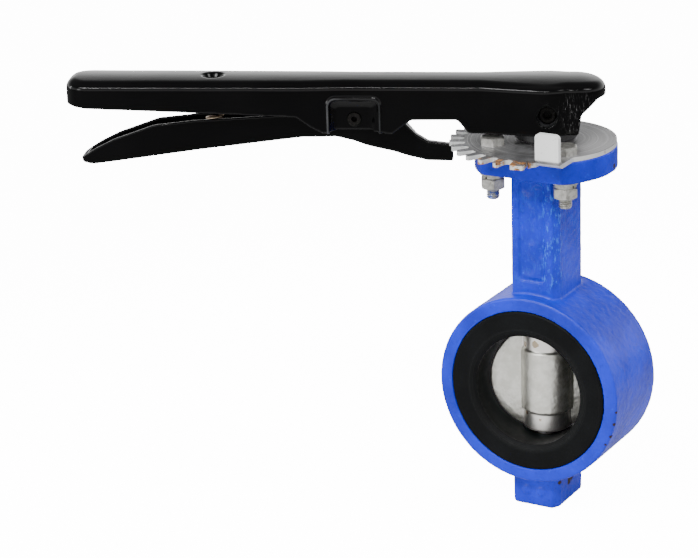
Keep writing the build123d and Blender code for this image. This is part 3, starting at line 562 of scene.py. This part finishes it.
def crowned_sheet(point, normal):
    """The top sheet is slightly crowned, and the recess round the pivot has a raised rim."""
    along = point.dot(LEVER_DIR) / MM
    side = point.dot(LEVER_SIDE) / MM
    share = min(1.0, (side / 13.0) ** 2)
    move = sheet_wave(point, normal) - CROWN_DROP * MM * share * ease(normal.z, 0.3, 0.95)
    if abs(side) > 10.3 and abs(along - RECESS_MIDDLE) < 16 and normal.dot(LEVER_SIDE) * side > 0:
        away = recess_edge(along, point.z / MM) / RIM_WIDTH
        move += RIM_RISE * MM * max(0.0, 1 - away * away) ** 2
    return move


lever_skin = softened("lever", 0.45, 7, REST_ANGLE)
move_out(lever_skin, crowned_sheet)
add_piece("lever_pressing", lever_skin, "lever_and_disc", "black_enamel", "lever")

trigger_skin = softened("trigger", 0.4, 6, REST_ANGLE)
move_out(trigger_skin, sheet_wave)
add_piece("trigger_pressing", trigger_skin, "squeeze_trigger", "black_enamel", "trigger")


# ---------------------------------------------------------------- fasteners
HEX_STEPS = 16
FLATS = 10.0
FACE_R = 4.75
NUT_HOLE_R = 2.75
PLATE_THICK = 2.3
WASHER_OUTER = 5.9
WASHER_INNER = 3.2
SPLIT_OUTER = 5.0
SPLIT_INNER = 3.1
SPLIT_TURNS = (-100, -20)
CHAMFER_SLOPE = tan(radians(30))


def hex_radius(angle):
    sixth = pi / 3
    return FLATS / 2 / cos(angle % sixth - sixth / 2)


def skin_rings(work, rings, closed=False):
    """Joins rings of equally many points with quads."""
    made = [[work.verts.new(p) for p in ring] for ring in rings]
    pairs = list(zip(made, made[1:]))
    if closed:
        pairs.append((made[-1], made[0]))
    for lower, upper in pairs:
        for i in range(len(lower)):
            j = (i + 1) % len(lower)
            work.faces.new((lower[i], lower[j], upper[j], upper[i]))
    return made


def hex_block(work, centre, low, high, hole, chamfer_low):
    """Hexagonal head or nut with conical chamfers round a hole."""
    x, y = centre
    count = 6 * HEX_STEPS
    angles = [2 * pi * i / count for i in range(count)]

    def ring(radius, height):
        return [Vector((x + radius(a) * cos(a), y + radius(a) * sin(a), height(a))) * MM for a in angles]

    def drop(angle):
        return (hex_radius(angle) - FACE_R) * CHAMFER_SLOPE

    rings = [ring(lambda a: hole, lambda a: high), ring(lambda a: FACE_R, lambda a: high),
             ring(hex_radius, lambda a: high - max(0.0, drop(a)))]
    if chamfer_low:
        rings += [ring(hex_radius, lambda a: low + max(0.0, drop(a))), ring(lambda a: FACE_R, lambda a: low)]
    else:
        rings += [ring(hex_radius, lambda a: low)]
    rings += [ring(lambda a: hole, lambda a: low)]
    skin_rings(work, rings, closed=True)


THREAD_PITCH = 1.0
THREAD_OUTER = 2.98
THREAD_INNER = 2.42
THREAD_STEPS = 10
TIP_CHAMFER = 0.7


def thread(work, centre, low, high):
    """Right-hand threaded shank with a chamfered tip at its low end."""
    x, y = centre
    count = 36
    rings = []
    for k in range(int((high - low) / THREAD_PITCH * THREAD_STEPS) + 1):
        z = low + k * THREAD_PITCH / THREAD_STEPS
        ring = []
        for i in range(count):
            share = i / count
            phase = (z / THREAD_PITCH - share) % 1.0
            rise = min(1.0, max(0.0, 1.25 - 2.9 * abs(phase - 0.5)))
            radius = THREAD_INNER + (THREAD_OUTER - THREAD_INNER) * rise
            radius = min(radius, THREAD_OUTER - TIP_CHAMFER + (z - low))
            ring.append(Vector((x + radius * cos(2 * pi * share), y + radius * sin(2 * pi * share), z)) * MM)
        rings.append(ring)
    made = skin_rings(work, rings)
    for end, reverse in ((made[0], True), (made[-1], False)):
        middle = work.verts.new(sum((v.co for v in end), Vector()) / count)
        for i in range(count):
            j = (i + 1) % count
            work.faces.new((end[j], end[i], middle) if reverse else (end[i], end[j], middle))


def split_washer(work, centre, low, high, outer, inner, turn):
    """Spring washer: a square-section ring, cut once and sprung slightly open."""
    x, y = centre
    count = 90
    gap = radians(9)
    spring = 0.22
    made = []
    for i in range(count + 1):
        angle = turn + gap / 2 + (2 * pi - gap) * i / count
        lift = spring * (1 - i / count)
        loop = []
        for radius, z in ((inner, low), (outer, low), (outer, high - spring), (inner, high - spring)):
            loop.append(work.verts.new(Vector((x + radius * cos(angle), y + radius * sin(angle), z + lift)) * MM))
        made.append(loop)
    for first, second in zip(made, made[1:]):
        for i in range(4):
            j = (i + 1) % 4
            work.faces.new((first[i], first[j], second[j], second[i]))
    work.faces.new(reversed(made[0]))
    work.faces.new(made[-1])


def plain_washer(work, centre, low, high, outer, inner):
    x, y = centre
    count = 64
    edge = 0.15
    profile = ((inner, low), (outer - edge, low), (outer, low + edge), (outer, high - 2 * edge),
               (outer - 2 * edge, high), (inner, high))
    rings = []
    for radius, z in profile:
        rings.append([Vector((x + radius * cos(2 * pi * i / count), y + radius * sin(2 * pi * i / count), z)) * MM
                      for i in range(count)])
    skin_rings(work, rings, closed=True)


def finished(work, name, crease=35):
    bmesh.ops.recalc_face_normals(work, faces=work.faces)
    mesh = bpy.data.meshes.new(name)
    work.to_mesh(mesh)
    work.free()
    mesh.shade_smooth()
    mesh.set_sharp_from_angle(angle=radians(crease))
    return mesh


def fastener_centres(node):
    """Centres of the two fasteners in a CAD node's box, in millimetres."""
    low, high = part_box(node)
    half = (high.y - low.y) / 2
    y = (low.y + high.y) / 2 / MM
    return [((low.x + high.x) / 2 / MM - side * ((high.x - low.x) / 2 - half) / MM, y) for side in (1, -1)]


bolt_low, bolt_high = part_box("plate_bolts")
nut_low, nut_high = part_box("plate_nuts")
plate_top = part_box("notch_plate")[0].z / MM + PLATE_THICK
centres = fastener_centres("flat_washers")

work = bmesh.new()
for centre in centres:
    hex_block(work, centre, plate_top, bolt_high.z / MM, 0.02, False)
bolt_heads = finished(work, "bolt_heads", 20)
work = bmesh.new()
work.from_mesh(bolt_heads)
for centre in centres:
    thread(work, centre, bolt_low.z / MM, plate_top + 0.3)
bolt_mesh = finished(work, "plate_bolts_threaded", 28)
add_piece("threaded_bolts", bolt_mesh, "valve_frame", "fastener_zinc", "plate_bolts")

work = bmesh.new()
for centre in centres:
    hex_block(work, centre, nut_low.z / MM, nut_high.z / MM, NUT_HOLE_R, True)
add_piece("hex_nuts", finished(work, "hex_nuts", 20), "valve_frame", "fastener_zinc", "plate_nuts")

washer_low, washer_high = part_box("flat_washers")
work = bmesh.new()
for centre in centres:
    plain_washer(work, centre, washer_low.z / MM, washer_high.z / MM, WASHER_OUTER, WASHER_INNER)
add_piece("plain_washers", finished(work, "plain_washers"), "valve_frame", "fastener_zinc", "flat_washers")

split_low, split_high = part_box("spring_washers")
work = bmesh.new()
for centre, turn in zip(centres, SPLIT_TURNS):
    split_washer(work, centre, split_low.z / MM, split_high.z / MM, SPLIT_OUTER, SPLIT_INNER, radians(turn))
add_piece("split_washers", finished(work, "split_washers"), "valve_frame", "fastener_zinc", "spring_washers")


# ---------------------------------------------------------------- spring
WIRE_R = 0.65
SPRING_TURNS = 9.0


def coil_mesh():
    """Compression spring with closed ends, as a smooth tube."""
    low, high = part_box("trigger_spring")
    wire = WIRE_R
    centre = Vector(((low.x + high.x) / 2, (low.y + high.y) / 2, 0)) / MM
    radius = (high.x - low.x) / MM / 2 - wire
    bottom = low.z / MM + wire
    top = high.z / MM - wire
    turns = SPRING_TURNS
    per_turn = 32
    around = 12
    steps = int(turns * per_turn)
    path = []
    for i in range(steps + 1):
        share = i / steps * turns
        closed = 2 * wire
        if share < 1:
            z = bottom + closed * ease(share, 0, 1) * share
        elif share > turns - 1:
            left = turns - share
            z = top - closed * ease(left, 0, 1) * left
        else:
            z = bottom + closed + (top - bottom - 2 * closed) * (share - 1) / (turns - 2)
        angle = 2 * pi * share
        path.append(centre + Vector((radius * cos(angle), radius * sin(angle), z)))
    work = bmesh.new()
    rings = []
    for i, point in enumerate(path):
        ahead = path[min(i + 1, steps)] - path[max(i - 1, 0)]
        out = Vector((point.x - centre.x, point.y - centre.y, 0)).normalized()
        rise = ahead.normalized().cross(out).normalized()
        ring = []
        for k in range(around):
            turn = 2 * pi * k / around
            ring.append((point + out * (wire * cos(turn)) + rise * (wire * sin(turn))) * MM)
        rings.append(ring)
    made = skin_rings(work, rings)
    work.faces.new(made[0])
    work.faces.new(reversed(made[-1]))
    return finished(work, "spring_coil", 60), Vector((centre.x * MM, centre.y * MM, high.z))


spring_mesh, spring_anchor = coil_mesh()
spring = add_piece("spring_coil", spring_mesh, "lever_and_disc", "spring_steel", "trigger_spring")
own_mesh(spring)


# ---------------------------------------------------------------- studio
FLOOR_HALF = 4.0
FLOOR_GAP = 0.0005
FLOOR_NEAR = (0.62, 0.62, 0.62)
FLOOR_GLOW = 14.0
FLOOR_FAR = (0.14, 0.14, 0.14)
SKY_FADE_START = 0.08
SKY_FADE_END = 0.60
SKY_LOW = 2.3
SKY_HIGH = 0.30


def soft_light(name, place, aim, width, height, energy):
    data = bpy.data.lights.new(name, "AREA")
    data.shape = "RECTANGLE"
    data.size = width
    data.size_y = height
    data.energy = energy
    lamp = bpy.data.objects.new(name, data)
    lamp.location = place
    lamp.rotation_euler = (Vector(aim) - Vector(place)).to_track_quat("-Z", "Y").to_euler()
    bpy.context.scene.collection.objects.link(lamp)


def studio():
    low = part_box("valve_body")[0]
    plane = bpy.data.meshes.new("floor")
    half = FLOOR_HALF
    level = low.z - FLOOR_GAP
    plane.from_pydata([(-half, -half, level), (half, -half, level), (half, half, level), (-half, half, level)],
                      [], [(0, 1, 2, 3)])
    floor = bpy.data.objects.new("floor", plane)
    bpy.context.scene.collection.objects.link(floor)
    pale = Look("floor", 0.9, 0.0, (0.6, 0.6, 0.6))
    pale.set("Base Color", pale.mix(pale.step(pale.reach((0, 0, level)), 0.25, 0.50), FLOOR_NEAR, FLOOR_FAR))
    path = pale.tree.nodes.new("ShaderNodeLightPath")
    pale.set("Emission Color", (1.0, 1.0, 1.0))
    pale.set("Emission Strength", pale.math("MULTIPLY", path.outputs["Is Camera Ray"], FLOOR_GLOW))
    plane.materials.append(pale.material)
    world = bpy.data.worlds.new("studio")
    bpy.context.scene.world = world
    world.use_nodes = True
    sky = world.node_tree.nodes["Background"]
    tree = world.node_tree
    where = tree.nodes.new("ShaderNodeTexCoord").outputs["Generated"]
    split = tree.nodes.new("ShaderNodeSeparateXYZ")
    tree.links.new(where, split.inputs[0])
    fade = tree.nodes.new("ShaderNodeMapRange")
    fade.interpolation_type = "SMOOTHSTEP"
    tree.links.new(split.outputs["Z"], fade.inputs["Value"])
    fade.inputs["From Min"].default_value = SKY_FADE_START
    fade.inputs["From Max"].default_value = SKY_FADE_END
    fade.inputs["To Min"].default_value = SKY_LOW
    fade.inputs["To Max"].default_value = SKY_HIGH
    tree.links.new(fade.outputs["Result"], sky.inputs["Strength"])
    sky.inputs["Color"].default_value = (1, 1, 1, 1)
    aim = (0, 0, 0.03)
    soft_light("key", (-0.40, -0.95, 1.25), aim, 0.62, 0.42, 17)
    soft_light("front", (-0.75, -1.60, 0.45), aim, 0.4, 0.4, 7)
    soft_light("side", (1.10, 0.15, 1.35), aim, 0.6, 0.6, 15)
    soft_light("left", (-1.70, -0.45, 0.45), aim, 0.25, 0.9, 7)
    soft_light("strip", (0.16, -1.05, 1.26), aim, 1.2, 0.03, 22)


place_camera()
studio()
